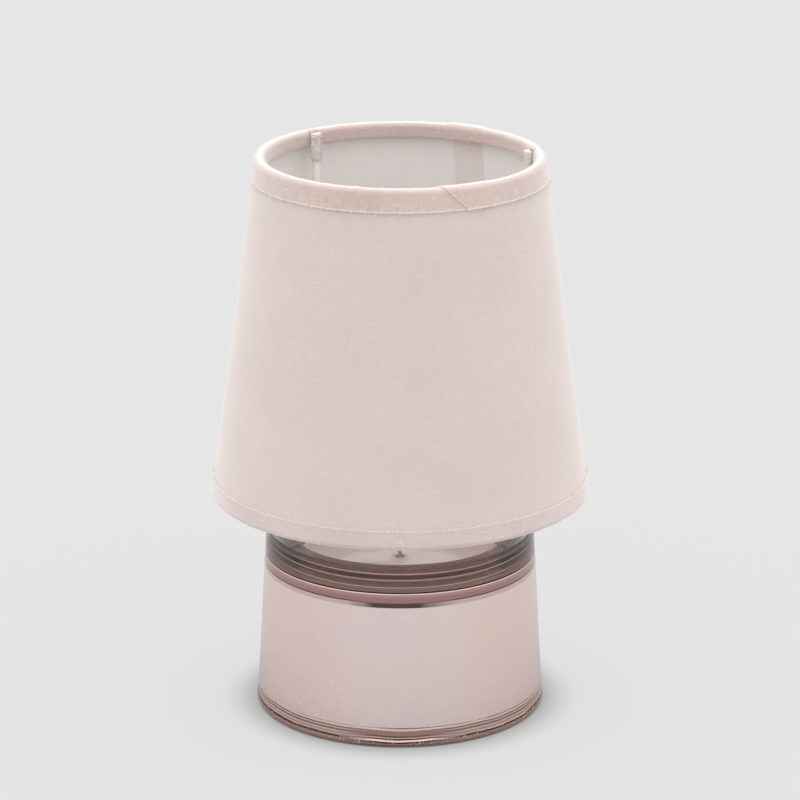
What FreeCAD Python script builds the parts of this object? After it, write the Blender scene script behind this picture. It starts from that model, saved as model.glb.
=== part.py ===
import FreeCAD, Part
import math
import os
import re

import Sketcher

# Candle lamp: a poured candle in a thick glass tumbler, under a tapered fabric shade.
# The shade's wire frame stands on the tumbler's rim and lifts straight off.
# Origin: the middle of the tumbler's foot, on the table. +Z is up, +X to the right, and -Y is the front.

# Driving sizes in millimetres, angles in degrees
SIZES = {
    "overall_height": 209.0,
    # Glass tumbler, wider at the foot than at the mouth
    "glass_height": 80.0,
    "foot_radius": 53.6,
    "foot_edge_radius": 1.6,
    "flare_height": 6.0,
    "flare_radius": 16.0,
    "wall_foot_radius": 53.05,
    "mouth_radius": 49.15,
    "wall_thickness": 3.3,
    "floor_thickness": 8.0,
    "inner_corner_radius": 5.0,
    "well_radius": 38.5,
    "ledge_height": 66.0,
    "ledge_edge_radius": 1.5,
    "ledge_fillet_radius": 2.0,
    "punt_radius": 46.0,
    "punt_depth": 1.2,
    # Candle
    "wax_depth": 47.0,
    "wax_gap": 0.05,
    "meniscus_rise": 0.7,
    "meniscus_run": 1.6,
    "wick_radius": 1.1,
    "wick_stand": 8.5,
    "tab_radius": 10.0,
    "tab_thickness": 0.4,
    "tab_neck_radius": 2.0,
    "tab_neck_height": 4.0,
    # Shade panel: stiff lining laminated to the cloth, closed with a lap seam
    "shade_base_height": 81.5,
    "shade_bottom_radius": 70.0,
    "shade_top_radius": 53.2,
    "lining_thickness": 0.3,
    "cloth_thickness": 0.4,
    "seam_width": 14.6,
    "seam_thickness": 0.4,
    "seam_azimuth": 61.0,
    # Cloth tape folded over the two rings
    "tape_thickness": 0.45,
    "top_tape_width": 8.2,
    "bottom_tape_width": 7.4,
    "tape_return": 3.6,
    "tape_tuck": 1.0,
    # Wire frame
    "ring_wire_radius": 1.4,
    "leg_wire_radius": 1.4,
    "seat_wire_radius": 1.3,
    "prong_wire_radius": 1.0,
    "prong_bend_radius": 1.6,
    "prong_depth": 6.0,
    "prong_clearance": 0.5,
    "leg_count": 3,
    "first_leg_azimuth": 10.9,
    "cuff_height": 9.4,
    # Fits
    "joint_gap": 0.05,
    "seat_clearance": 0.2,
}
FULL_TURN = 360
UP = FreeCAD.Vector(0, 0, 1)

doc = FreeCAD.newDocument("candle_lamp")
sheet = doc.addObject("Spreadsheet::Sheet", "Sizes")
for row, (alias, number) in enumerate(SIZES.items(), start=1):
    sheet.set(f"A{row}", alias)
    sheet.set(f"B{row}", str(number))
    sheet.setAlias(f"B{row}", alias)
doc.recompute()

# Heights and radii that follow from the driving sizes, as formulas over the sheet

WAX_TOP = "(floor_thickness + wax_depth)"
TAB_TOP = "(floor_thickness + tab_thickness + tab_neck_height)"
RIM_ROUND = "(wall_thickness / 2)"
RIM_SPRING = f"(glass_height - {RIM_ROUND})"
WALL_LEAN = f"((wall_foot_radius - mouth_radius) / ({RIM_SPRING} - flare_height))"
RIM_RADIUS = f"(mouth_radius - {RIM_ROUND})"

ROLL = "(ring_wire_radius + tape_thickness)"
TOP_RING_HEIGHT = f"(overall_height - {ROLL})"
BOTTOM_RING_HEIGHT = f"(shade_base_height + {ROLL})"
PANEL = "(lining_thickness + cloth_thickness + joint_gap * 3)"
TOP_RING_RADIUS = f"(shade_top_radius - tape_thickness - {PANEL} - ring_wire_radius)"
BOTTOM_RING_RADIUS = f"(shade_bottom_radius - tape_thickness - {PANEL} - ring_wire_radius)"
SHADE_LEAN = f"((shade_bottom_radius - shade_top_radius) / ({TOP_RING_HEIGHT} - {BOTTOM_RING_HEIGHT}))"

SEAT_HEIGHT = "(glass_height + seat_clearance + seat_wire_radius)"
LEG_TOP_RADIUS = f"({TOP_RING_RADIUS} - ring_wire_radius - leg_wire_radius - joint_gap)"
LEG_LEAN = f"(({RIM_RADIUS} - {LEG_TOP_RADIUS}) / ({TOP_RING_HEIGHT} - {SEAT_HEIGHT}))"
PRONG_RADIUS = "(mouth_radius - wall_thickness - prong_clearance - prong_wire_radius)"


def bound(formula):
    """The formula with each size's name pointing at its cell."""
    names = "|".join(sorted(SIZES, key=len, reverse=True))
    return re.sub(rf"\b({names})\b", r"Sizes.\1", formula)


def value(formula):
    """The number that a formula gives now."""
    return float(sheet.evalExpression(bound(formula)))


def glass_outside(height):
    """The tumbler's outer radius at a height on its straight wall."""
    return f"(wall_foot_radius - ({height} - flare_height) * {WALL_LEAN})"


def glass_inside(height):
    return f"({glass_outside(height)} - wall_thickness)"


def shade_outside(height):
    """The outer radius of the tape at a height of the shade."""
    return f"(shade_top_radius + ({TOP_RING_HEIGHT} - {height}) * {SHADE_LEAN})"


def leg_axis(height):
    """The leg's distance from the middle at a height."""
    return f"({LEG_TOP_RADIUS} + ({TOP_RING_HEIGHT} - {height}) * {LEG_LEAN})"


def new_body(label, azimuth="0"):
    """An empty body, turned about the lamp's axis."""
    body = doc.addObject("PartDesign::Body", label)
    body.Label = label
    body.Placement = FreeCAD.Placement(FreeCAD.Vector(), FreeCAD.Rotation(UP, value(azimuth)))
    body.setExpression("Placement.Rotation.Angle", bound(azimuth))
    return body


def origin_plane(body, role):
    return next(item for item in body.Origin.OriginFeatures if item.Role == role)


def new_sketch(body, name, role, offset="0"):
    """An empty sketch on one of the body's own planes, moved along the plane's normal."""
    sketch = body.newObject("Sketcher::SketchObject", name)
    sketch.AttachmentSupport = [(origin_plane(body, role), "")]
    sketch.MapMode = "FlatFace"
    sketch.setExpression("AttachmentOffset.Base.z", bound(offset))
    return sketch


def limit(sketch, kind, where, formula):
    """Add one dimension that follows a formula."""
    index = sketch.addConstraint(Sketcher.Constraint(kind, *where, value(formula)))
    sketch.setExpression(f"Constraints[{index}]", bound(formula))


def pin(sketch, edge, end, across, along):
    """Hold a point at two formulas measured from the sketch's origin."""
    for kind, axis, formula in (("DistanceX", -2, across), ("DistanceY", -1, along)):
        if formula == "0":
            sketch.addConstraint(Sketcher.Constraint("PointOnObject", edge, end, axis))
        else:
            limit(sketch, kind, (-1, 1, edge, end), formula)


def arc_between(start, end, radius, side):
    """The short arc between two points, its centre to the left (1) or right (-1) of the way there."""
    chord = end - start
    reach = math.sqrt(max(radius * radius - chord.Length * chord.Length / 4, 0))
    normal = FreeCAD.Vector(-chord.y, chord.x, 0).normalize()
    centre = (start + end) * 0.5 + normal * (reach * side)
    first, last = (start, end) if side > 0 else (end, start)
    begin = math.atan2(first.y - centre.y, first.x - centre.x)
    finish = math.atan2(last.y - centre.y, last.x - centre.x)
    if finish < begin:
        finish += 2 * math.pi
    return Part.ArcOfCircle(Part.Circle(centre, UP, radius), begin, finish)


def outline(body, name, corners, role="XZ_Plane", closed=True):
    """An outline through corners (radius, height).

    A corner with a third and fourth value starts an arc of that radius, with its centre on that side.
    """
    sketch = new_sketch(body, name, role)
    points = [FreeCAD.Vector(value(corner[0]), value(corner[1]), 0) for corner in corners]
    last = len(corners) if closed else len(corners) - 1
    ends = []
    for index in range(last):
        start, end = points[index], points[(index + 1) % len(points)]
        if len(corners[index]) == 2:
            sketch.addGeometry(Part.LineSegment(start, end))
            ends.append((1, 2))
        else:
            radius, side = corners[index][2:]
            sketch.addGeometry(arc_between(start, end, value(radius), side))
            ends.append((1, 2) if side > 0 else (2, 1))
    for index in range(last if closed else last - 1):
        following = (index + 1) % len(ends)
        joined = (index, ends[index][1], following, ends[following][0])
        sketch.addConstraint(Sketcher.Constraint("Coincident", *joined))
    for index in range(last):
        pin(sketch, index, ends[index][0], corners[index][0], corners[index][1])
        if len(corners[index]) > 2:
            limit(sketch, "Radius", (index,), corners[index][2])
    if not closed:
        pin(sketch, last - 1, ends[-1][1], corners[-1][0], corners[-1][1])
    return sketch


def circle(body, name, radius, across, along="0", role="XY_Plane", offset="0"):
    """A circle of a radius, its centre at (across, along)."""
    sketch = new_sketch(body, name, role, offset)
    centre = FreeCAD.Vector(value(across), value(along), 0)
    sketch.addGeometry(Part.Circle(centre, UP, value(radius)))
    pin(sketch, 0, 3, across, along)
    limit(sketch, "Radius", (0,), radius)
    return sketch


def turned(body, name, sketch, kind="Revolution", angle="360"):
    """Turn an outline about the lamp's axis, to add to the body or, as a Groove, to cut it."""
    feature = body.newObject(f"PartDesign::{kind}", name)
    feature.Profile = sketch
    feature.ReferenceAxis = (sketch, ["V_Axis"])
    feature.setExpression("Angle", bound(angle))
    feature.Midplane = True
    return feature


def rod(body, name, kind, radius, low, high):
    """A round bar, or the hole for one, along a leg's axis between two heights."""
    foot = circle(body, name + "_foot", radius, leg_axis(low), offset=low)
    head = circle(body, name + "_head", radius, leg_axis(high), offset=high)
    feature = body.newObject(f"PartDesign::{kind}", name)
    feature.Profile = foot
    feature.Sections = [head]
    return feature


def around_legs(body, name, feature):
    """Repeat a feature at every leg."""
    pattern = body.newObject("PartDesign::PolarPattern", name)
    pattern.Originals = [feature]
    pattern.Axis = (origin_plane(body, "Z_Axis"), [""])
    pattern.Angle = FULL_TURN
    pattern.setExpression("Occurrences", bound("leg_count"))
    body.Tip = pattern


def glass_tumbler():
    """Thick pressed glass: a flared foot, a leaning wall, and a narrow well for the candle under a ledge."""
    body = new_body("glass_tumbler")
    fillet_height = "(ledge_height + ledge_fillet_radius)"
    corners = [
        ("0", "punt_depth"),
        ("punt_radius - punt_depth", "punt_depth"),
        ("punt_radius", "0"),
        ("foot_radius - foot_edge_radius", "0", "foot_edge_radius", 1),
        ("foot_radius", "foot_edge_radius", "flare_radius", -1),
        ("wall_foot_radius", "flare_height"),
        ("mouth_radius", RIM_SPRING, RIM_ROUND, 1),
        (RIM_RADIUS, "glass_height", RIM_ROUND, 1),
        ("mouth_radius - wall_thickness", RIM_SPRING),
        (glass_inside(fillet_height), fillet_height, "ledge_fillet_radius", -1),
        (f"{glass_inside(fillet_height)} - ledge_fillet_radius", "ledge_height"),
        ("well_radius + ledge_edge_radius", "ledge_height", "ledge_edge_radius", 1),
        ("well_radius", "ledge_height - ledge_edge_radius"),
        ("well_radius", "floor_thickness + inner_corner_radius", "inner_corner_radius", -1),
        ("well_radius - inner_corner_radius", "floor_thickness"),
        ("0", "floor_thickness"),
    ]
    turned(body, "glass", outline(body, "glass_section", corners))
    return body


def wax_fill():
    """Wax poured in round the wick, drawn up a little where it meets the glass."""
    body = new_body("wax_fill")
    corners = [
        ("tab_radius + wax_gap", "floor_thickness + wax_gap"),
        ("well_radius - inner_corner_radius", "floor_thickness + wax_gap",
         "inner_corner_radius - wax_gap", 1),
        ("well_radius - wax_gap", "floor_thickness + inner_corner_radius"),
        ("well_radius - wax_gap", f"{WAX_TOP} + meniscus_rise", "meniscus_run * 1.2", -1),
        ("well_radius - meniscus_run", WAX_TOP),
        ("wick_radius + wax_gap", WAX_TOP),
        ("wick_radius + wax_gap", f"{TAB_TOP} + wax_gap"),
        ("tab_neck_radius + wax_gap", f"{TAB_TOP} + wax_gap"),
        ("tab_neck_radius + wax_gap", "floor_thickness + tab_thickness + wax_gap"),
        ("tab_radius + wax_gap", "floor_thickness + tab_thickness + wax_gap"),
    ]
    turned(body, "wax", outline(body, "wax_section", corners))
    return body


def wick():
    """Braided cotton wick, held at its foot by the tab and cut short above the wax."""
    body = new_body("wick")
    corners = [
        ("0", "floor_thickness"),
        ("wick_radius", "floor_thickness"),
        ("wick_radius", f"{WAX_TOP} + wick_stand"),
        ("0", f"{WAX_TOP} + wick_stand"),
    ]
    turned(body, "cord", outline(body, "cord_section", corners))
    return body


def wick_tab():
    """Tinned steel disc with a crimped neck, stuck to the glass floor under the wax."""
    body = new_body("wick_tab")
    hole = "(wick_radius + joint_gap)"
    corners = [
        (hole, "floor_thickness"),
        ("tab_radius", "floor_thickness"),
        ("tab_radius", "floor_thickness + tab_thickness"),
        ("tab_neck_radius", "floor_thickness + tab_thickness"),
        ("tab_neck_radius", TAB_TOP),
        (hole, TAB_TOP),
    ]
    turned(body, "disc", outline(body, "disc_section", corners))
    return body


def wire_ring(label, wire_radius, ring_radius, height):
    """A round wire closed to a ring about the lamp's axis."""
    body = new_body(label)
    section = circle(body, "wire_section", wire_radius, ring_radius, height, role="XZ_Plane")
    turned(body, "wire", section)
    return body


def panel(label, inset, thickness, azimuth="0"):
    """One layer of the shade's cone, between the middles of the two rings."""
    body = new_body(label, azimuth)
    corners = []
    for height, depth in ((BOTTOM_RING_HEIGHT, inset), (TOP_RING_HEIGHT, inset),
                          (TOP_RING_HEIGHT, f"({inset} + {thickness})"),
                          (BOTTOM_RING_HEIGHT, f"({inset} + {thickness})")):
        corners.append((f"{shade_outside(height)} - {depth}", height))
    turned(body, "layer", outline(body, "layer_section", corners))
    return body


def fabric_cover():
    """The cloth layer, with its overlapped end standing proud in a strip down the back."""
    body = panel("fabric_cover", "(tape_thickness + joint_gap)", "cloth_thickness", "seam_azimuth")
    low = "(shade_base_height + bottom_tape_width + joint_gap)"
    high = "(overall_height - top_tape_width - joint_gap)"
    corners = []
    for height, depth in ((low, "(tape_thickness - seam_thickness)"),
                          (high, "(tape_thickness - seam_thickness)"),
                          (high, "(tape_thickness + cloth_thickness / 2)"),
                          (low, "(tape_thickness + cloth_thickness / 2)")):
        corners.append((f"{shade_outside(height)} - {depth}", height))
    middle = "(shade_bottom_radius + shade_top_radius) / 2"
    turned(body, "lap", outline(body, "lap_section", corners), angle=f"seam_width / ({middle}) * 180 / pi")
    return body


def folded_tape(label, ring_radius, ring_height, width, way, azimuth="0"):
    """Tape glued outside the panel, folded over the ring and tucked behind it.

    way is 1 where the fold is on top of the ring and -1 where it is under it.
    """
    body = new_body(label, azimuth)
    sign = "" if way > 0 else "-"
    edge = f"({ring_height} {'-' if way > 0 else '+'} ({width} - {ROLL}))"
    back = f"({ring_height} {'-' if way > 0 else '+'} tape_return)"
    tuck = f"({ring_height} {'-' if way > 0 else '+'} (tape_return + tape_tuck))"

    def rise(amount):
        return f"({ring_height} + {sign}1 * {amount})"

    face = shade_outside(ring_height)
    lining_face = f"({shade_outside(tuck)} - tape_thickness - {PANEL} - joint_gap)"
    inner_face = f"({ring_radius} - {ROLL} - joint_gap)"
    corners = [
        (shade_outside(edge), edge),
        (face, ring_height, ROLL, way),
        (f"{face} - {ROLL}", rise(ROLL)),
        (f"{ring_radius} - joint_gap", rise(ROLL), ROLL, way),
        (inner_face, ring_height),
        (inner_face, back),
        (f"{lining_face} - tape_thickness", tuck),
        (lining_face, tuck),
        (f"{inner_face} + tape_thickness", back),
        (f"{inner_face} + tape_thickness", ring_height, "ring_wire_radius", -way),
        (f"{ring_radius} - joint_gap", rise("ring_wire_radius")),
        (f"{face} - {ROLL}", rise("ring_wire_radius"), "ring_wire_radius", -way),
        (f"{face} - tape_thickness", ring_height),
        (f"{shade_outside(edge)} - tape_thickness", edge),
    ]
    turned(body, "tape", outline(body, "tape_section", corners))
    return body


def top_trim():
    """The top tape, snipped on the inside round each leg."""
    body = folded_tape("top_trim", TOP_RING_RADIUS, TOP_RING_HEIGHT, "top_tape_width", 1,
                       "first_leg_azimuth")
    low = f"({TOP_RING_HEIGHT} - tape_return - tape_tuck * 2)"
    hole = "(leg_wire_radius + joint_gap)"
    around_legs(body, "snips", rod(body, "snip", "SubtractiveLoft", hole, low, TOP_RING_HEIGHT))
    return body


def leg_azimuth(index):
    return f"(first_leg_azimuth + {index} * 360 / leg_count)"


def leg(index):
    """A straight wire from the seat ring to the inside of the top ring."""
    body = new_body(f"leg_{index + 1}", leg_azimuth(index))
    foot = f"({SEAT_HEIGHT} + prong_wire_radius + joint_gap)"
    rod(body, "bar", "AdditiveLoft", "leg_wire_radius", foot, TOP_RING_HEIGHT)
    cut_for_seat_ring(body)
    return body


def cut_for_seat_ring(body):
    """Cope the end of a wire so that it fits round the seat ring."""
    section = circle(body, "cope_section", "seat_wire_radius + joint_gap", RIM_RADIUS, SEAT_HEIGHT,
                     role="XZ_Plane")
    turned(body, "cope", section, kind="Groove")


def prong(index):
    """A short bent wire inside the tumbler's mouth, which keeps the shade centred."""
    body = new_body(f"prong_{index + 1}", leg_azimuth(index))
    corners = [
        (RIM_RADIUS, SEAT_HEIGHT),
        (f"{PRONG_RADIUS} + prong_bend_radius", SEAT_HEIGHT, "prong_bend_radius", 1),
        (PRONG_RADIUS, f"{SEAT_HEIGHT} - prong_bend_radius"),
        (PRONG_RADIUS, "glass_height - prong_depth"),
    ]
    path = outline(body, "prong_path", corners, closed=False)
    section = circle(body, "prong_section", "prong_wire_radius", "0", SEAT_HEIGHT, role="YZ_Plane",
                     offset=RIM_RADIUS)
    pipe = body.newObject("PartDesign::AdditivePipe", "wire")
    pipe.Profile = section
    pipe.Spine = (path, [])
    cut_for_seat_ring(body)
    return body


def leg_cuff(index):
    """A scrap of the tape's cloth wrapped over the top of a leg, open towards the ring."""
    body = new_body(f"leg_cuff_{index + 1}", leg_azimuth(index))
    low = f"({TOP_RING_HEIGHT} - cuff_height)"
    top = f"({TOP_RING_HEIGHT} + tape_thickness + joint_gap)"
    rod(body, "wrap", "AdditiveLoft", "leg_wire_radius + joint_gap + tape_thickness", low, top)
    rod(body, "hollow", "SubtractiveLoft", "leg_wire_radius + joint_gap", low,
        f"({TOP_RING_HEIGHT} + joint_gap)")
    inner = f"({TOP_RING_RADIUS} - {ROLL} - joint_gap * 2)"
    outer = f"({TOP_RING_RADIUS} + ring_wire_radius)"
    corners = [(inner, low), (outer, low), (outer, top), (inner, top)]
    turned(body, "opening", outline(body, "opening_section", corners), kind="Groove")
    return body


bodies = [
    glass_tumbler(),
    wax_fill(),
    wick(),
    wick_tab(),
    wire_ring("top_ring", "ring_wire_radius", TOP_RING_RADIUS, TOP_RING_HEIGHT),
    wire_ring("bottom_ring", "ring_wire_radius", BOTTOM_RING_RADIUS, BOTTOM_RING_HEIGHT),
    wire_ring("seat_ring", "seat_wire_radius", RIM_RADIUS, SEAT_HEIGHT),
    panel("lining", "(tape_thickness + cloth_thickness + joint_gap * 2)", "lining_thickness", "seam_azimuth"),
    fabric_cover(),
    top_trim(),
    folded_tape("bottom_trim", BOTTOM_RING_RADIUS, BOTTOM_RING_HEIGHT, "bottom_tape_width", -1),
]
for index in range(int(value("leg_count"))):
    bodies += [leg(index), prong(index), leg_cuff(index)]
doc.recompute()

for item in doc.Objects:
    if "Invalid" in item.State or "Error" in item.State:
        raise RuntimeError(f"{item.Name} failed: {item.State}")
for body in bodies:
    shape = body.Shape
    if shape.isNull() or not shape.isValid() or len(shape.Solids) != 1:
        raise RuntimeError(f"{body.Label} isn't one valid solid")

os.makedirs("parts", exist_ok=True)
for body in bodies:
    body.Shape.exportStep(f"parts/{body.Label}.step")
    print(f"{body.Label}: {body.Shape.Volume / 1000:.2f} cm3")
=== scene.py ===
import math
import random

import bmesh
import bpy
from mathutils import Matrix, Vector, noise


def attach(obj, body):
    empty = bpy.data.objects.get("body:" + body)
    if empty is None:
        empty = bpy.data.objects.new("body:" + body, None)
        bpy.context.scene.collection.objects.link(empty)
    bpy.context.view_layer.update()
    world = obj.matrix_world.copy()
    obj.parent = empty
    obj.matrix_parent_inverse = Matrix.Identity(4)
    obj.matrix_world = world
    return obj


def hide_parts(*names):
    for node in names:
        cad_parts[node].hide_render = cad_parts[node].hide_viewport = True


# The looks of a candle lamp: a lustred glass tumbler with poured wax, under a cloth shade on a wire frame.
# Millimetres in this file, turned to metres where a mesh is made. +Z is up and the front is -Y.

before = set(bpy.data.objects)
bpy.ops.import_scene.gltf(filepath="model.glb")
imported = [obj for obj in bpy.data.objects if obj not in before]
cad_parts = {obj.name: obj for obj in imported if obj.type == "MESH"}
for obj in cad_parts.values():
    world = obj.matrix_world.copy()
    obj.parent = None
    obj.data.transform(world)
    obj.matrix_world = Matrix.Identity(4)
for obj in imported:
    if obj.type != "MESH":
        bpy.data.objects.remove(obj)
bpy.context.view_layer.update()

MM = 0.001
TURN = 2 * math.pi

# Tumbler: the worn rings in the well have a height and a depth
GLASS_HEIGHT = 80.0
FOOT_RADIUS = 53.6
FOOT_ROUND = 1.6
FOOT_RING = 46.0
FOOT_HOLLOW = 1.2
FOOT_GROOVE = 3.1
GROOVE_DEPTH = 0.22
GROOVE_HALF = 0.22
WALL_FOOT_RADIUS = 53.05
FLARE_HEIGHT = 6.0
FLARE_BOW = 0.148185
MOUTH_RADIUS = 49.15
WALL = 3.3
RIM_ROUND = WALL / 2
WALL_LEAN = (WALL_FOOT_RADIUS - MOUTH_RADIUS) / (GLASS_HEIGHT - RIM_ROUND - FLARE_HEIGHT)
GLASS_FLOOR = 8.0
CORNER = 5.0
WELL = 38.5
LEDGE = 66.0
LEDGE_EDGE = 1.5
LEDGE_FILLET = 2.0
LUSTRE_FOOT = 7.6
LUSTRE_TOP = 53.0
LUSTRE_STRIPE = 1.9
LUSTRE_EDGE = 5.9
WELL_LUSTRE_TOP = 52.0
WORN_RINGS = (57.4, 0.14), (60.2, 0.1), (62.6, 0.12)
WORN_RING_HALF = 0.3
RIPPLE = 0.03

# Candle
WAX_TOP = 55.0
WAX_GAP = 0.05
WAX_CLIMB = 0.7
WAX_CLIMB_WIDTH = 1.55
WICK_TOP = WAX_TOP + 8.4
WICK_STRAND = 0.45
BRAID_TURN = 1.35
BRAID_WIDTH = 0.52
BRAID_DEPTH = 0.26

# Shade
TOP_RING = 50.5, 207.15
BOTTOM_RING = 67.3, 83.35
TAPE_TOP_RADIUS = 53.2
TAPE_FOOT_RADIUS = 70.0
TAPE = 0.45
ROLL = 1.4 + TAPE
LEAN = (TAPE_FOOT_RADIUS - TAPE_TOP_RADIUS) / (TOP_RING[1] - BOTTOM_RING[1])
SLOPE = math.atan(LEAN)
APEX = TOP_RING[1] + TAPE_TOP_RADIUS / LEAN
# The lap seam: its azimuth, its width, and half of that as an angle
SEAM = math.radians(61.0)
SEAM_WIDTH = 14.6
SEAM_HALF = SEAM_WIDTH / (TAPE_TOP_RADIUS + TAPE_FOOT_RADIUS)
LAP_LIFT = 0.42
FOLD = 10.0
RETURN_START = 11.4
RETURN_DROP = 3.6
TUCK_DROP = 4.6
PANEL_FOOT = 83.0
PANEL_HEIGHT = 124.0
SWAY = 0.3
# In degrees: how far the tape's ends lap, and off a leg where its return is cut away and where it is whole
TAPE_OVERLAP = 8.0
SNIP = 2.0, 2.4
# Gauze round the legs' tops: the degrees it stays open to either side, its reach, and its two radii
CUFF_OPEN = 64.0
CUFF_LENGTH = 9.2
CUFF_ABOVE = 0.7
CUFF_FACE = 1.78
CUFF_BACK = 1.48

# Wire frame
LEGS = [math.radians(10.9 + 120 * index) for index in range(3)]
LEG_TOP = 47.65
LEG_WIRE = 1.39
SEAT = 47.5, 81.5
SEAT_WIRE = 1.29
SEAT_WELD = math.radians(190)
PRONG_REACH = 44.35
PRONG_BEND = 1.6
PRONG_WIRE = 0.99
LEG_LENGTH = 125.0
# Welds: half the width of each swelling of the wire, and how far it stands out
BUTT_WELD = 0.9, 0.12
LEG_BEAD = 1.6, 0.1
LEG_SWELL = 1.3, 0.45
PRONG_SWELL = 0.6, 0.3

# Studio: the light's strength at the horizon and overhead, what either side adds, and the floor's looks
BACKDROP = "E5E5E5"
SKY_LIGHT = 0.2, 2.1
SIDE_LIGHT = 0.4
BOARD = "C0C0C0"
# The floor as seen through the glass: a darker rose grey, painted shade under the glass
BOARD_THROUGH_GLASS = "B5A6A2"
BOARD_GLOW = 0.8
CONTACT_REACH = 14.0
BOUNCES = 24

# The photograph's camera, its place in metres and its pitch in degrees
CAMERA_PLACE = 0.0, -1.366, 0.544
CAMERA_PITCH = 17.4
CAMERA_LENS = 175.05


def linear(code):
    """An sRGB hex colour as linear light."""
    parts = [int(code[place:place + 2], 16) / 255 for place in (0, 2, 4)]
    return [part / 12.92 if part <= 0.04045 else ((part + 0.055) / 1.055) ** 2.4 for part in parts] + [1.0]


def smooth_step(low, high, at):
    share = min(max((at - low) / (high - low), 0.0), 1.0)
    return share * share * (3 - 2 * share)


def hump(off, half, high):
    """A smooth bump, about so wide to either side and so high in the middle."""
    return high * math.exp(-(off / half) ** 2)


def angle_off(azimuth, middle):
    """How far an azimuth lies from another, the short way round."""
    return abs((azimuth - middle + math.pi) % TURN - math.pi)


def around(radius, height, azimuth):
    return Vector((radius * math.cos(azimuth), radius * math.sin(azimuth), height))


def heights(low, high, step):
    count = max(1, round((high - low) / step))
    return [low + (high - low) * index / count for index in range(count + 1)]


def bend(across, height, radius, start, stop, steps):
    """Points of an arc in a section, angles in degrees from straight out."""
    angles = [math.radians(start + (stop - start) * step / steps) for step in range(steps + 1)]
    return [(across + radius * math.cos(angle), height + radius * math.sin(angle)) for angle in angles]


def there_and_back(column, count):
    """The place across a sheet of a column in a row that runs along its face and back along its back."""
    column = column % (count * 2)
    return column if column < count else 2 * count - 1 - column


def skin(name, patches, ringed=False, capped=False, flat=None):
    """A mesh over rows of points in millimetres.

    Each row closes on itself, ringed joins the last row to the first, and capped closes both ends.
    flat gives the place on the uncut cloth, in millimetres, of the point in a row and column.
    """
    vertices, faces, corners = [], [], []
    for rows in patches:
        base, count = len(vertices), len(rows[0])
        vertices += [Vector(point) * MM for row in rows for point in row]
        quads = [
            ((row, column), (row + 1, column), (row + 1, column + 1), (row, column + 1))
            for row in range(len(rows) - (not ringed))
            for column in range(count)
        ]
        if capped:
            quads += [
                ((row, column), (row, column + 1), (row, count - 2 - column), (row, count - 1 - column))
                for row in (0, len(rows) - 1)
                for column in range(count // 2 - 1)
            ]
        for quad in quads:
            faces.append([base + row % len(rows) * count + column % count for row, column in quad])
            corners += quad
    mesh = bpy.data.meshes.new(name)
    mesh.from_pydata(vertices, [], faces)
    if flat:
        layer = mesh.uv_layers.new(name="flat")
        layer.uv.foreach_set("vector", [part for corner in corners for part in flat(*corner)])
    built = bmesh.new()
    built.from_mesh(mesh)
    bmesh.ops.remove_doubles(built, verts=built.verts, dist=1e-6)
    bmesh.ops.recalc_face_normals(built, faces=built.faces)
    built.to_mesh(mesh)
    built.free()
    mesh.shade_smooth()
    mesh.set_sharp_from_angle(angle=math.radians(38))
    piece = bpy.data.objects.new(name, mesh)
    bpy.context.scene.collection.objects.link(piece)
    return piece


def finish_piece(piece, body, materials, nodes=()):
    """Give a piece its materials, and tie it to the body and the nodes that it stands for."""
    for material in materials:
        piece.data.materials.append(material)
    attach(piece, body)
    if nodes:
        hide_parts(*nodes)


def wire(path, radius, sides, closed=False):
    """Rows of points round a wire that follows a path.

    radius gives the wire's radius for a share of the way along.
    """
    rows, side, last = [], None, len(path) - 1
    for index, point in enumerate(path):
        before = path[index - 1] if index or closed else point
        after = path[(index + 1) % len(path)] if index < last or closed else point
        along = (after - before).normalized()
        side = side or along.orthogonal()
        side = (side - along * side.dot(along)).normalized()
        other = along.cross(side)
        thick = radius(index / last)
        turns = [TURN * step / sides for step in range(sides)]
        rows.append([point + (side * math.cos(turn) + other * math.sin(turn)) * thick for turn in turns])
    return rows


# Materials

# Where the thin film turns from rose to brown, and where the haze of lustre fades away: heights
FILM_TURN = 55.2 * MM, 57.2 * MM
HAZE_FADE = 59.2 * MM, 64.5 * MM
# How far off the middle a look of the front gives way to that of the sides, which sets where painted
# reflections and painted highlights change
PAINTED_DARK_REFLECTION_SIDE = 9.0 * MM, 20.0 * MM
GREY_SIDE = 30.0 * MM, 60.0 * MM
WARM_SIDE = 16.0 * MM, 34.0 * MM
FOOT_SIDE = 10.0 * MM, 24.0 * MM
# The range that most of a noise lies in
MOST = 0.3, 0.7
# Tones of the painted reflections on the foot: a dark one, and a bright one that its painted glints share
PAINTED_DARK_REFLECTION = "452A24"
PAINTED_BRIGHT_REFLECTION = "FBE2DB"
# Painted reflections as lines round the foot: height, half width, tone, and strength at the front and at the
# sides
FOOT_LINES = (
    (1.0, 0.2, PAINTED_DARK_REFLECTION, 0.55, 0.0), (2.05, 0.32, PAINTED_DARK_REFLECTION, 1.0, 0.0), (2.7, 0.33, PAINTED_BRIGHT_REFLECTION, 1.0, 0.0),
    (2.72, 0.3, PAINTED_DARK_REFLECTION, 0.0, 1.0), (3.3, 0.26, PAINTED_DARK_REFLECTION, 0.9, 0.0), (3.43, 0.35, PAINTED_BRIGHT_REFLECTION, 0.0, 0.6),
    (3.85, 0.2, PAINTED_BRIGHT_REFLECTION, 0.45, 0.0), (4.4, 0.33, PAINTED_DARK_REFLECTION, 0.65, 0.0), (4.55, 0.4, PAINTED_BRIGHT_REFLECTION, 0.0, 0.4),
    (5.3, 0.25, PAINTED_DARK_REFLECTION, 0.0, 0.45), (5.82, 0.24, PAINTED_BRIGHT_REFLECTION, 0.0, 0.55), (6.3, 0.22, PAINTED_DARK_REFLECTION, 0.0, 0.45),
    (7.0, 0.4, PAINTED_BRIGHT_REFLECTION, 0.8, 0.7), (7.5, 0.12, PAINTED_DARK_REFLECTION, 0.3, 0.45),
)


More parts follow.
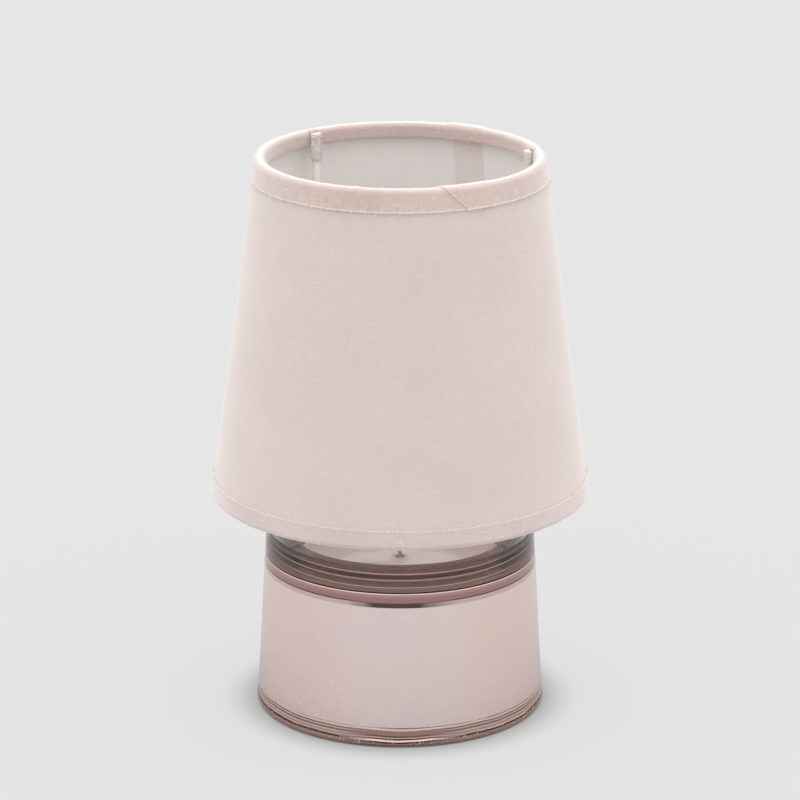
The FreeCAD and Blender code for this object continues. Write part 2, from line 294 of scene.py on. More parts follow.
def add(tree, kind, inputs=(), **settings):
    """Add a node with its settings and links.

    inputs come in the node's order, or by name or number. Each is a value, a hex colour, a socket, or a
    node whose first output in use is linked.
    """
    node = tree.nodes.new("ShaderNode" + kind)
    for name, setting in settings.items():
        setattr(node, name, setting)
    for name, given in inputs.items() if isinstance(inputs, dict) else enumerate(inputs):
        if isinstance(given, str):
            given = linear(given)
        elif isinstance(given, bpy.types.Node):
            given = next(socket for socket in given.outputs if socket.enabled)
        if isinstance(given, bpy.types.NodeSocket):
            tree.links.new(given, node.inputs[name])
        else:
            node.inputs[name].default_value = given
    return node


def start_material(name):
    """A new material with its empty tree, and the place on the object."""
    material = bpy.data.materials.new(name)
    material.use_nodes = True
    tree = material.node_tree
    tree.nodes.clear()
    return material, tree, add(tree, "TexCoord").outputs["Object"]


def grain(tree, place, millimetres, detail=2.0, stretch=(1.0, 1.0, 1.0)):
    """A pattern of lumps about so many millimetres wide, on the object."""
    scale = [share / (millimetres * MM) for share in stretch]
    moved = add(tree, "Mapping", {"Vector": place, "Scale": scale})
    return add(tree, "TexNoise", {"Vector": moved, "Scale": 1.0, "Detail": detail})


def rose_glass(name, lump, relief, film=None, mirror=None):
    """Rose glass coloured in the melt: clear at a thin edge, mauve through a long way of glass.

    Its skin ripples over so many millimetres. film is two colours and the heights between which the
    first turns to the second. mirror is the lustre on it: colour, roughness, and share of the surface,
    with the heights between which that share fades away, if it does.
    """
    material, tree, place = start_material(name)
    rise = add(tree, "SeparateXYZ", [place]).outputs[2]
    ripple = grain(tree, place, lump, 1.0)
    normal = add(tree, "Bump", {"Strength": relief, "Distance": 0.4 * MM, "Height": ripple})
    colour = "FFFFFF"
    if film:
        first, second, turn = film
        share = add(tree, "MapRange", [rise, *turn])
        colour = add(tree, "Mix", {0: share, 6: first, 7: second}, data_type="RGBA")
    surface = add(tree, "BsdfPrincipled", {
        "Base Color": colour, "Roughness": 0.0, "IOR": 1.5, "Transmission Weight": 1.0, "Normal": normal,
    })
    if mirror:
        tone, roughness, share, *fade = mirror
        for heights_between in fade:
            share = add(tree, "MapRange", [rise, *heights_between, share, 0.0])
        glossy = add(tree, "BsdfAnisotropic", {"Color": tone, "Roughness": roughness, "Normal": normal})
        surface = add(tree, "MixShader", [share, surface, glossy])
    body = add(tree, "VolumeAbsorption", {"Color": "BC8C80", "Density": 8.0})
    add(tree, "OutputMaterial", {"Surface": surface, "Volume": body})
    return material


def pressed_rose_glass():
    """Soda-lime glass pressed in a mould: a fire-polished skin with a slow ripple of a centimetre or so."""
    return rose_glass("pressed_rose_glass", lump=14.0, relief=0.04)


def glass_with_thin_lustre():
    """The top of the well's wall, where the fired lustre is thin: part mirror, part rose or brown glass."""
    return rose_glass("glass_with_thin_lustre", lump=9.0, relief=0.06, film=("DFBBAF", "B08E7C", FILM_TURN),
                      mirror=("EFD3C8", 0.02, 0.45))


def glass_with_lustre_haze():
    """Clear glass just above the lustre, where a breath of it lies: a weak rose mirror that fades upward."""
    return rose_glass("glass_with_lustre_haze", lump=14.0, relief=0.04,
                      mirror=("F6CDC4", 0.03, 0.15, HAZE_FADE))


def brushed_lustre_edge():
    """The glossy end of the lustre: a rose stripe over a beige one, with painted reflections, dark in front,
    grey at the sides.
    """
    material, tree, place = start_material("brushed_lustre_edge_painted_reflections")
    across, _, rise = add(tree, "SeparateXYZ", [place]).outputs
    split, top = (LUSTRE_TOP + LUSTRE_STRIPE) * MM, (LUSTRE_TOP + LUSTRE_EDGE) * MM

    # The lower stripe: a painted dark reflection at the front, giving way to beige at the sides
    off = add(tree, "Math", [grain(tree, place, 12.0), 12.0 * MM, across], operation="MULTIPLY_ADD")
    off = add(tree, "Math", [off, 6.0 * MM], operation="SUBTRACT")
    off = add(tree, "Math", [off], operation="ABSOLUTE")
    aside = add(tree, "MapRange", [off, *PAINTED_DARK_REFLECTION_SIDE])
    lower = add(tree, "Mix", {0: aside, 6: "54443F", 7: "CBB8B0"}, data_type="RGBA")

    pale = add(tree, "MapRange", [rise, split + 1.4 * MM, top])
    upper = add(tree, "Mix", {0: pale, 6: "A37B78", 7: "C9A7A1"}, data_type="RGBA")
    # A painted grey reflection on the upper stripe towards the sides
    grey = add(tree, "MapRange", [off, *GREY_SIDE, 0.0, 0.7])
    upper = add(tree, "Mix", {0: grey, 6: upper, 7: "A8979A"}, data_type="RGBA")
    # A painted highlight just under the top, strongest at the front
    glint = add(tree, "MapRange", [rise, top - 0.95 * MM, top - 0.8 * MM])
    strong = add(tree, "MapRange", [off, *GREY_SIDE, 1.0, 0.3])
    glint = add(tree, "Math", [glint, strong], operation="MULTIPLY")
    upper = add(tree, "Mix", {0: glint, 6: upper, 7: "FFEAE4"}, data_type="RGBA")

    over = add(tree, "MapRange", [rise, split - 0.4 * MM, split + 0.2 * MM])
    film = add(tree, "Mix", {0: over, 6: lower, 7: upper}, data_type="RGBA")
    # A thin dark line where the two stripes meet, at the sides only
    seam = add(tree, "Math", [rise, split], operation="SUBTRACT")
    seam = add(tree, "Math", [seam], operation="ABSOLUTE")
    seam = add(tree, "MapRange", [seam, 0.12 * MM, 0.22 * MM, 1.0, 0.0])
    seam = add(tree, "Math", [seam, aside], operation="MULTIPLY")
    # A thin painted dark reflection line along the top, over the painted highlight
    line = add(tree, "MapRange", [rise, top - 0.6 * MM, top - 0.5 * MM])
    line = add(tree, "Math", [line, seam], operation="MAXIMUM")
    surface = add(tree, "BsdfPrincipled", {
        "Base Color": add(tree, "Mix", {0: line, 6: film, 7: "2E1814"}, data_type="RGBA"), "Metallic": 0.7,
        "Roughness": add(tree, "MapRange", [grain(tree, place, 2.2, 3.0), *MOST, 0.1, 0.2]),
    })
    add(tree, "OutputMaterial", {"Surface": surface})
    return material


def fired_lustre():
    """Metal lustre fired on satin glass: a soft rose mirror, lilac in the middle, with a painted beige
    reflection at the sides.
    """
    material, tree, place = start_material("fired_rose_lustre")
    warm = add(tree, "MapRange", [grain(tree, place, 26.0), 0.4, 0.6])
    colour = add(tree, "Mix", {0: warm, 6: "FCEAE7", 7: "F9E8EB"}, data_type="RGBA")
    beige = add(tree, "MapRange", [grain(tree, place, 44.0, 1.0), 0.42, 0.62, 0.0, 0.5])
    colour = add(tree, "Mix", {0: beige, 6: colour, 7: "F9EBE4"}, data_type="RGBA")
    # A painted beige reflection towards the sides
    off = add(tree, "Math", [add(tree, "SeparateXYZ", [place])], operation="ABSOLUTE")
    aside = add(tree, "MapRange", [off, *WARM_SIDE, 0.0, 0.85])
    cloud = grain(tree, place, 8.0, 3.0)
    surface = add(tree, "BsdfPrincipled", {
        "Base Color": add(tree, "Mix", {0: aside, 6: colour, 7: "FDE4DD"}, data_type="RGBA"),
        "Metallic": 1.0, "Roughness": add(tree, "MapRange", [cloud, *MOST, 0.22, 0.27]),
        "Coat Weight": 0.9, "Coat Roughness": 0.02,
        "Normal": add(tree, "Bump", {"Strength": 0.02, "Distance": 0.2 * MM, "Height": cloud}),
    })
    through = add(tree, "BsdfTranslucent", {"Color": "FFC4B8"})
    add(tree, "OutputMaterial", {"Surface": add(tree, "MixShader", [0.2, surface, through])})
    return material


def lustre_foot_with_painted_reflections():
    """Glossy lustre on the moulded foot, with painted reflections: bright and dark lines round it, and
    painted glints low down.
    """
    material, tree, place = start_material("lustre_on_moulded_foot_with_painted_reflections")
    across, _, up = add(tree, "SeparateXYZ", [place]).outputs
    rise = add(tree, "Math", [grain(tree, place, 16.0), 1.2 * MM, up], operation="MULTIPLY_ADD")
    rise = add(tree, "Math", [rise, 0.6 * MM], operation="SUBTRACT")
    aside = add(tree, "Math", [across], operation="ABSOLUTE")
    aside = add(tree, "MapRange", [aside, *FOOT_SIDE])
    film = "A2847B"
    # Each line is a painted reflection, with its own strength at the front and at the sides
    for height, half, tone, front, side in FOOT_LINES:
        line = add(tree, "Math", [rise, height * MM], operation="SUBTRACT")
        line = add(tree, "Math", [line], operation="ABSOLUTE")
        line = add(tree, "MapRange", [line, half * 0.75 * MM, half * 1.15 * MM, 1.0, 0.0])
        strong = add(tree, "MapRange", [aside, 0.0, 1.0, front, side])
        line = add(tree, "Math", [line, strong], operation="MULTIPLY")
        film = add(tree, "Mix", {0: line, 6: film, 7: tone}, data_type="RGBA")
    # Painted glints: bright specks, strong low on the foot and faint above
    painted_glint = add(tree, "MapRange", [grain(tree, place, 0.55, 1.0), 0.64, 0.7])
    low = add(tree, "MapRange", [up, 2.4 * MM, 3.6 * MM, 0.75, 0.12])
    painted_glint = add(tree, "Math", [painted_glint, low], operation="MULTIPLY")
    surface = add(tree, "BsdfPrincipled", {
        "Base Color": add(tree, "Mix", {0: painted_glint, 6: film, 7: PAINTED_BRIGHT_REFLECTION}, data_type="RGBA"), "Metallic": 0.7,
        "Roughness": add(tree, "MapRange", [grain(tree, place, 2.2, 3.0), *MOST, 0.12, 0.24]),
    })
    add(tree, "OutputMaterial", {"Surface": surface})
    return material


def lustre_behind_glass():
    """The lustre in the well and under the foot, seen through the glass: a rose mirror."""
    material, tree, place = start_material("rose_lustre_behind_glass")
    cloud = grain(tree, place, 9.0, 3.0)
    warm = add(tree, "MapRange", [cloud, *MOST])
    surface = add(tree, "BsdfPrincipled", {
        "Base Color": add(tree, "Mix", {0: warm, 6: "F4D6D0", 7: "F6DCD7"}, data_type="RGBA"),
        "Metallic": 1.0, "Roughness": add(tree, "MapRange", [cloud, *MOST, 0.08, 0.14]),
    })
    add(tree, "OutputMaterial", {"Surface": surface})
    return material


def poured_wax():
    """Paraffin and soy wax poured and cooled: a soft sheen with faint clouds where it set last."""
    material, tree, place = start_material("poured_candle_wax")
    cloud = add(tree, "MapRange", [grain(tree, place, 18.0, 3.0), 0.35, 0.65])
    bloom = grain(tree, place, 1.5, 4.0)
    surface = add(tree, "BsdfPrincipled", {
        "Base Color": add(tree, "Mix", {0: cloud, 6: "F1DFDA", 7: "EBD5D0"}, data_type="RGBA"),
        "Roughness": add(tree, "MapRange", [bloom, *MOST, 0.1, 0.2]), "IOR": 1.44,
        "Coat Weight": 1.0, "Coat Roughness": 0.03,
        "Subsurface Weight": 0.15, "Subsurface Radius": (0.004, 0.0025, 0.002), "Subsurface Scale": 0.5,
        "Normal": add(tree, "Bump", {"Strength": 0.15, "Distance": 0.3 * MM, "Height": bloom}),
    })
    add(tree, "OutputMaterial", {"Surface": surface})
    return material


def waxed_cotton():
    """Braided cotton dipped in wax: off white, with fine fibres along each strand."""
    material, tree, place = start_material("waxed_braided_cotton")
    fibre = grain(tree, place, 0.35, 3.0, (1.0, 1.0, 0.25))
    pale = add(tree, "MapRange", [fibre, 0.35, 0.65])
    surface = add(tree, "BsdfPrincipled", {
        "Base Color": add(tree, "Mix", {0: pale, 6: "E9E2D2", 7: "F6F1E6"}, data_type="RGBA"),
        "Roughness": 0.55,
        "Normal": add(tree, "Bump", {"Strength": 0.5, "Distance": 0.1 * MM, "Height": fibre}),
    })
    add(tree, "OutputMaterial", {"Surface": surface})
    return material


def stamped_tinplate():
    """Stamped tin-plated steel: bright grey with rolling marks one way."""
    material, tree, place = start_material("stamped_tinplate")
    marks = grain(tree, place, 0.6, 3.0, (1.0, 0.06, 1.0))
    surface = add(tree, "BsdfPrincipled", {
        "Base Color": "D2D0CC", "Metallic": 1.0,
        "Roughness": add(tree, "MapRange", [marks, *MOST, 0.22, 0.4]),
        "Normal": add(tree, "Bump", {"Strength": 0.1, "Distance": 0.05 * MM, "Height": marks}),
    })
    add(tree, "OutputMaterial", {"Surface": surface})
    return material


def powder_coated_wire():
    """Steel wire with a white powder coat: satin, with the fine orange peel of the baked powder."""
    material, tree, place = start_material("white_powder_coated_wire")
    cloud = add(tree, "MapRange", [grain(tree, place, 9.0), *MOST])
    peel = grain(tree, place, 0.7)
    surface = add(tree, "BsdfPrincipled", {
        "Base Color": add(tree, "Mix", {0: cloud, 6: "EFEEEA", 7: "F6F5F1"}, data_type="RGBA"),
        "Roughness": 0.4,
        "Normal": add(tree, "Bump", {"Strength": 0.2, "Distance": 0.1 * MM, "Height": peel}),
    })
    add(tree, "OutputMaterial", {"Surface": surface})
    return material


def weave(tree, pitch):
    """A plain weave on the uncut cloth: returns its height, its weft slubs and its warp slubs.

    The pitch is the distance between threads in millimetres.
    """
    flat = add(tree, "UVMap", uv_map="flat")
    wander = add(tree, "TexNoise", {"Vector": flat, "Scale": 0.16 / pitch, "Detail": 1.0})
    shift = add(tree, "VectorMath", [wander.outputs["Color"], (0.5, 0.5, 0.5)], operation="SUBTRACT")
    loose = add(tree, "VectorMath", [shift, (pitch * 1.2,) * 3, flat], operation="MULTIPLY_ADD")
    turned = add(tree, "VectorMath", {0: loose, 3: math.pi / pitch}, operation="SCALE")
    double = add(tree, "VectorMath", {0: turned, 3: 2.0}, operation="SCALE")
    threads = add(tree, "SeparateXYZ", [add(tree, "VectorMath", [turned], operation="SINE")]).outputs
    ridges = add(tree, "SeparateXYZ", [add(tree, "VectorMath", [double], operation="COSINE")]).outputs
    over = add(tree, "Math", [threads[0], threads[1]], operation="MULTIPLY")
    over = add(tree, "MapRange", [over, -0.4, 0.4])
    height = add(tree, "Mix", {0: over, 2: ridges[0], 3: ridges[1]}, data_type="FLOAT")
    slubs = []
    for reach in ((7.0 * pitch, 0.9 * pitch, 1.0), (0.9 * pitch, 7.0 * pitch, 1.0)):
        stretched = add(tree, "VectorMath", [flat, reach], operation="DIVIDE")
        slubs.append(add(tree, "TexNoise", {"Vector": stretched, "Scale": 1.0, "Detail": 2.0}))
    return height, *slubs


def woven_cloth(name, pitch, dark, light, slub, relief, sheen, fold=None):
    """A matt woven cloth whose threads vary in shade and thickness.

    A tape has painted highlights: along its fold, that many millimetres from its cut edge, and dotted along
    that edge.
    """
    material, tree, place = start_material(name)
    height, weft, warp = weave(tree, pitch)
    mixed = add(tree, "Math", [weft, warp], operation="ADD")
    mixed = add(tree, "Math", [mixed, grain(tree, place, 30.0)], operation="ADD")
    mixed = add(tree, "MapRange", [mixed, 1.2, 1.8])
    colour = add(tree, "Mix", {0: mixed, 6: dark, 7: light}, data_type="RGBA")
    thick_weft = add(tree, "MapRange", [weft, 0.66, 0.74])
    thick_warp = add(tree, "MapRange", [warp, 0.69, 0.77, 0.0, 0.7])
    thick = add(tree, "Math", [thick_weft, thick_warp], operation="MAXIMUM")
    colour = add(tree, "Mix", {0: thick, 6: colour, 7: slub}, data_type="RGBA")
    if fold:
        # Painted highlights along the tape's fold and, dotted, along its cut edge
        reach = add(tree, "SeparateXYZ", [add(tree, "UVMap", uv_map="flat")]).outputs[1]
        wear_and_painted_highlight = add(tree, "Math", [reach, fold], operation="SUBTRACT")
        wear_and_painted_highlight = add(tree, "Math", [wear_and_painted_highlight], operation="ABSOLUTE")
        wear_and_painted_highlight = add(tree, "MapRange", [wear_and_painted_highlight, 0.2, 1.5, 0.6, 0.0])
        cut_edge_highlight = add(tree, "MapRange", [reach, 0.3, 0.5, 1.0, 0.0])
        highlight_dots = add(tree, "MapRange", [warp, 0.42, 0.58, 0.1, 0.8])
        cut_edge_highlight = add(tree, "Math", [cut_edge_highlight, highlight_dots], operation="MULTIPLY")
        wear_and_painted_highlight = add(tree, "Math", [wear_and_painted_highlight, cut_edge_highlight], operation="MAXIMUM")
        colour = add(tree, "Mix", {0: wear_and_painted_highlight, 6: colour, 7: "F6ECE6"}, data_type="RGBA")
    raised = add(tree, "Math", [height, 0.25, thick], operation="MULTIPLY_ADD")
    surface = add(tree, "BsdfPrincipled", {
        "Base Color": colour, "Roughness": 0.85, "Specular IOR Level": 0.3,
        "Sheen Weight": sheen, "Sheen Roughness": 0.45,
        "Normal": add(tree, "Bump", {"Strength": relief, "Distance": 0.15 * MM, "Height": raised}),
    })
    add(tree, "OutputMaterial", {"Surface": surface})
    return material


def shade_cloth():
    """Plain-woven polyester with a linen look, laminated flat: fine threads with short slubs.

    The threads are 0.3 mm apart, drawn 0.75 mm apart so that they show.
    """
    return woven_cloth("slubbed_plain_weave", pitch=0.75, dark="D4C4BE", light="D9CAC4", slub="E0D2CC",
                       relief=0.35, sheen=0.8)


def edging_tape(name, dark, light, fold):
    """Folded cotton tape in a finer, heathered yarn, a little darker than the cloth.

    The threads are 0.25 mm apart, drawn 0.6 mm apart so that they show.
    """
    return woven_cloth(name, pitch=0.6, dark=dark, light=light, slub="E6DAD5",
                       relief=0.45, sheen=1.0, fold=fold)


def torn_gauze():
    """White cotton gauze stiffened with glue, used where the wire meets the tape.

    The threads are 0.3 mm apart, drawn 0.7 mm apart so that they show.
    """
    return woven_cloth("glued_white_gauze", pitch=0.7, dark="D9D2CB", light="EFEBE6", slub="FFFFFF",
                       relief=1.0, sheen=0.3)


def lining_film():
    """White styrene film laminated behind the cloth: matt, with the weave pressed into it.

    Where its two ends lap, less light comes through, so that strip is a shade darker.
    """
    material, tree, _ = start_material("laminated_styrene_lining")
    height, weft, _ = weave(tree, 0.75)
    lapped = add(tree, "SeparateColor", [add(tree, "VertexColor", layer_name="lap")])
    pale = add(tree, "MapRange", [weft, 0.35, 0.65])
    colour = add(tree, "Mix", {0: pale, 6: "F8F3F1", 7: "FAF6F4"}, data_type="RGBA")
    surface = add(tree, "BsdfPrincipled", {
        "Base Color": add(tree, "Mix", {0: lapped, 6: colour, 7: "EEE5E4"}, data_type="RGBA"),
        "Roughness": 0.5,
        "Normal": add(tree, "Bump", {"Strength": 0.05, "Distance": 0.1 * MM, "Height": height}),
    })
    add(tree, "OutputMaterial", {"Surface": surface})
    return material


def cut_thread():
    """Loose ends of the tape's yarn: pale, catching the light one by one."""
    material, tree, place = start_material("frayed_cotton_thread")
    pale = add(tree, "MapRange", [grain(tree, place, 0.5), 0.4, 0.6])
    surface = add(tree, "BsdfPrincipled", {
        "Base Color": add(tree, "Mix", {0: pale, 6: "C9BBB2", 7: "FFFCF8"}, data_type="RGBA"),
        "Roughness": 0.5, "Sheen Weight": 0.4,
    })
    add(tree, "OutputMaterial", {"Surface": surface})
    return material


# Tumbler and candle

# The glass's materials, in their order on the piece
CLEAR, SATIN, BRUSHED, BEHIND, FILM, FOOT, HAZE = range(7)


def glass_outside(height):
    return WALL_FOOT_RADIUS - (height - FLARE_HEIGHT) * WALL_LEAN


def glass_inside(height):
    return glass_outside(height) - WALL


def glass_section():
    """The glass's outline from the middle of its underside over the rim to the middle of its floor."""
    section = [(0.0, FOOT_HOLLOW), (20.0, FOOT_HOLLOW), (FOOT_RING - 2.0, FOOT_HOLLOW),
               (FOOT_RING - 1.2, FOOT_HOLLOW - 0.05), (FOOT_RING, 0.0)]
    section += bend(FOOT_RADIUS - FOOT_ROUND, FOOT_ROUND, FOOT_ROUND, -90, 0, 8)[:-1]
    for height in heights(FOOT_ROUND, FLARE_HEIGHT, 0.11)[:-1]:
        share = (height - FOOT_ROUND) / (FLARE_HEIGHT - FOOT_ROUND)
        radius = FOOT_RADIUS + (WALL_FOOT_RADIUS - FOOT_RADIUS) * share
        radius -= FLARE_BOW * math.sin(math.pi * share)
        section.append((radius - hump(height - FOOT_GROOVE, GROOVE_HALF, GROOVE_DEPTH), height))

    edge_top, rim = LUSTRE_TOP + LUSTRE_EDGE, GLASS_HEIGHT - RIM_ROUND
    for low, high, step in ((FLARE_HEIGHT, LUSTRE_FOOT, 0.8), (LUSTRE_FOOT, LUSTRE_TOP, 1.0),
                            (LUSTRE_TOP, edge_top, 0.95), (edge_top, rim, 1.0)):
        section += [(glass_outside(level), level) for level in heights(low, high, step)[:-1]]
    section += bend(MOUTH_RADIUS - RIM_ROUND, rim, RIM_ROUND, 0, 180, 14)

    ledge_top = LEDGE + LEDGE_FILLET
    section += [(glass_inside(level), level) for level in reversed(heights(ledge_top, rim, 1.0)[1:-1])]
    section += bend(glass_inside(ledge_top) - LEDGE_FILLET, ledge_top, LEDGE_FILLET, 0, -90, 10)
    section += bend(WELL + LEDGE_EDGE, LEDGE - LEDGE_EDGE, LEDGE_EDGE, 90, 180, 8)
    levels = heights(GLASS_FLOOR + CORNER, WELL_LUSTRE_TOP, 2.0)
    levels += heights(WELL_LUSTRE_TOP, LEDGE - LEDGE_EDGE, 0.2)[1:-1]
    for level in reversed(levels):
        wear_and_painted_highlight = sum(hump(level - ring, WORN_RING_HALF, deep) for ring, deep in WORN_RINGS)
        section.append((WELL + wear_and_painted_highlight, level))
    section += bend(WELL - CORNER, GLASS_FLOOR + CORNER, CORNER, 0, -90, 10)[1:]
    return section + [(20.0, GLASS_FLOOR), (0.0, GLASS_FLOOR)]


def glass_zone(radius, height):
    """Which of the glass's materials lies at a place on it."""
    if height < 0.3:
        return BEHIND
    # Outside, and on the ledge
    if radius > WELL + 3:
        if height < LUSTRE_FOOT:
            return FOOT if radius > FOOT_RADIUS - FOOT_ROUND else CLEAR
        if height < LUSTRE_TOP:
            return SATIN
        if height < LUSTRE_TOP + LUSTRE_EDGE:
            return BRUSHED
        return HAZE if height < LEDGE else CLEAR
    # In the well
    if GLASS_FLOOR - 0.5 < height < WELL_LUSTRE_TOP:
        return BEHIND
    return FILM if WELL_LUSTRE_TOP < height < LEDGE - 0.3 else CLEAR


def glass_tumbler():
    """Pressed tumbler: a flared foot, a fire-rounded rim, and a narrower well for the candle."""
    section = glass_section()
    rows = []
    for step in range(360):
        azimuth = TURN * step / 360
        row = []
        for radius, height in section:
            place = Vector((math.cos(azimuth) * 2.0, math.sin(azimuth) * 2.0, height / 24.0))
            ripple = RIPPLE * noise.noise(place) if 2 < height < GLASS_HEIGHT - 1 and radius > 30 else 0.0
            row.append(around(radius + ripple, height, azimuth))
        rows.append(row)
    piece = skin("pressed_glass_tumbler", [rows], ringed=True)
    finish_piece(piece, "tumbler", [
        pressed_rose_glass(), fired_lustre(), brushed_lustre_edge(), lustre_behind_glass(),
        glass_with_thin_lustre(), lustre_foot_with_painted_reflections(), glass_with_lustre_haze(),
    ], ["glass_tumbler"])
    for face in piece.data.polygons:
        centre = face.center
        face.material_index = glass_zone(math.hypot(centre.x, centre.y) / MM, centre.z / MM)


def wax_fill():
    """Wax round the wick, drawn up at the glass and sunk a little in the middle."""
    floor, side = GLASS_FLOOR + WAX_GAP, WELL - WAX_GAP
    section = [(10.05, floor), (25.0, floor)]
    section += bend(WELL - CORNER, GLASS_FLOOR + CORNER, CORNER - WAX_GAP, -90, 0, 8)
    section += [(side, level) for level in heights(GLASS_FLOOR + CORNER, WAX_TOP + WAX_CLIMB, 4.0)[1:]]
    for share in (0.15, 0.35, 0.6, 0.8, 1.0):
        section.append((side - 0.04 - WAX_CLIMB_WIDTH * share, WAX_TOP + WAX_CLIMB * (1 - share) ** 2))
    section += [(radius, WAX_TOP)
                for radius in (35, 33, 30, 27, 24, 21, 18, 15, 12, 9.5, 7, 5, 3.5, 2.4, 1.7)]
    rows = []
    for step in range(180):
        azimuth = TURN * step / 180
        row = []
        for radius, height in section:
            if height >= WAX_TOP and 1.3 < radius < 36:
                fade = 1 - smooth_step(31.0, 36.0, radius)
                height -= fade * (0.12 + 0.12 * noise.noise(around(radius, 0.0, azimuth) / 13.0))
                height += hump(radius - 1.2, 1.1, 0.5)
            row.append(around(radius, height, azimuth))
        rows.append(row)
    piece = skin("poured_wax", [rows], ringed=True)
    finish_piece(piece, "tumbler", [poured_wax()], ["wax_fill"])


def wick():
    """Three strands braided flat, the cut end opened a little."""
    def thick(share):
        return WICK_STRAND * (1 + 0.05 * math.sin(share * 400))

    strands = []
    for strand in range(3):
        path = []
        for height in heights(GLASS_FLOOR + WAX_GAP, WICK_TOP, 0.35):
            turn = height / BRAID_TURN + strand * TURN / 3
            spread = 1.0 + 0.15 * smooth_step(WICK_TOP - 1.4, WICK_TOP, height)
            across, deep = BRAID_WIDTH * spread * math.sin(turn), BRAID_DEPTH * math.sin(2 * turn)
            path.append(Vector((across, deep, height)))
        strands.append(wire(path, thick, 10))
    piece = skin("braided_wick", strands, capped=True)
    finish_piece(piece, "tumbler", [waxed_cotton()], ["wick"])


# Wire frame


def seat_ring(coat):
    """The ring that rests on the glass, with a butt weld at the back and a bead where each leg stands."""
    def thick(share):
        azimuth = share * TURN
        weld = hump((azimuth - SEAT_WELD) * SEAT[0], *BUTT_WELD)
        beads = sum(hump((azimuth - leg) * SEAT[0], *LEG_BEAD) for leg in LEGS)
        return SEAT_WIRE + weld + beads

    path = [around(*SEAT, TURN * step / 360) for step in range(360)]
    piece = skin("seat_ring_wire", [wire(path, thick, 20, closed=True)], ringed=True)
    finish_piece(piece, "shade", [coat], ["seat_ring"])


def leg_axis(height):
    """How far from the middle a leg's centre line is at a height."""
    return SEAT[0] + (LEG_TOP - SEAT[0]) * (height - SEAT[1]) / (TOP_RING[1] - SEAT[1])


def leg(index, coat):
    """A straight wire, its foot swelling into the weld."""
    path = [around(leg_axis(height), height, LEGS[index])
            for height in heights(SEAT[1] + 0.9, TOP_RING[1] - 0.05, 1.2)]

    def thick(share):
        return LEG_WIRE + hump(share * LEG_LENGTH, *LEG_SWELL)

    piece = skin(f"leg_wire_{index + 1}", [wire(path, thick, 20)], capped=True)
    finish_piece(piece, "shade", [coat], [f"leg_{index + 1}"])


def prong(index, coat):
    """A short bent wire with a rounded tip, which keeps the shade over the glass."""
    section = [(SEAT[0] - 0.9, SEAT[1]), (SEAT[0] - 1.3, SEAT[1])]
    section += bend(PRONG_REACH + PRONG_BEND, SEAT[1] - PRONG_BEND, PRONG_BEND, 90, 180, 12)
    section += [(PRONG_REACH, height)
                for height in (79.0, 78.0, 77.0, 76.0, 75.3, 74.8, 74.5, 74.3, 74.15, 74.05, 74.01)]
    path = [around(radius, height, LEGS[index]) for radius, height in section]
    lengths = [0.0]
    for before, after in zip(path, path[1:]):
        lengths.append(lengths[-1] + (after - before).length)

    def thick(share):
        here = lengths[round(share * (len(path) - 1))]
        tip = max(0.0, 1.0 - (lengths[-1] - here))
        return PRONG_WIRE * math.sqrt(max(0.02, 1 - tip * tip)) + hump(here, *PRONG_SWELL)

    piece = skin(f"prong_wire_{index + 1}", [wire(path, thick, 16)], capped=True)
    finish_piece(piece, "shade", [coat], [f"prong_{index + 1}"])


# Shade


def tape_face(height):
    """The outer radius of the tape at a height."""
    return TAPE_TOP_RADIUS + (TOP_RING[1] - height) * LEAN


def sway(azimuth, height):
    """How far the laminated panel stands off a true cone there."""
    place = Vector((math.cos(azimuth) * 1.6, math.sin(azimuth) * 1.6, height / 45.0))
    middle = math.sin(math.pi * min(max((height - PANEL_FOOT) / PANEL_HEIGHT, 0.0), 1.0))
    return SWAY * middle * noise.noise(place)


def panel(name, depth, thickness, lap, way):
    """One layer of the shade, cut flat and rolled to a cone, its last end lapped over the first.

    depth is from the tape's face to the layer's middle, and way is 1 where the lap is outside.
    """
    first, last = SEAM - SEAM_HALF, SEAM + SEAM_HALF + TURN
    steps = 540
    levels = heights(BOTTOM_RING[1], TOP_RING[1], 2.4)
    rows = []
    for step in range(steps + 1):
        azimuth = first + (last - first) * step / steps
        lift = lap * way * smooth_step(first + TURN - 0.06, first + TURN - 0.004, azimuth)
        face, back = [[
            around(tape_face(level) - depth + sway(azimuth, level) + lift + side * thickness, level, azimuth)
            for level in levels
        ] for side in (0.5, -0.5)]
        rows.append(face + back[::-1])

    def flat(row, column):
        reach = (APEX - levels[there_and_back(column, len(levels))]) / math.cos(SLOPE)
        turn = (first + (last - first) * row / steps - SEAM - SEAM_HALF - math.pi) * math.sin(SLOPE)
        return reach * math.sin(turn), reach * math.cos(turn)

    return skin(name, [rows], capped=True, flat=flat)


def fabric_cover(cloth):
    piece = panel("cloth_cover", depth=0.7, thickness=0.34, lap=LAP_LIFT, way=1)
    finish_piece(piece, "shade", [cloth], ["fabric_cover"])


def lining():
    piece = panel("laminated_lining", depth=1.1, thickness=0.26, lap=0.3, way=-1)
    shaded = piece.data.color_attributes.new("lap", "FLOAT_COLOR", "POINT")
    for index, vertex in enumerate(piece.data.vertices):
        off = angle_off(math.atan2(vertex.co.y, vertex.co.x), SEAM)
        share = 1 - smooth_step(SEAM_HALF * 0.96, SEAM_HALF * 1.04, off)
        shaded.data[index].color = (share, share, share, 1.0)
    finish_piece(piece, "shade", [lining_film()], ["lining"])


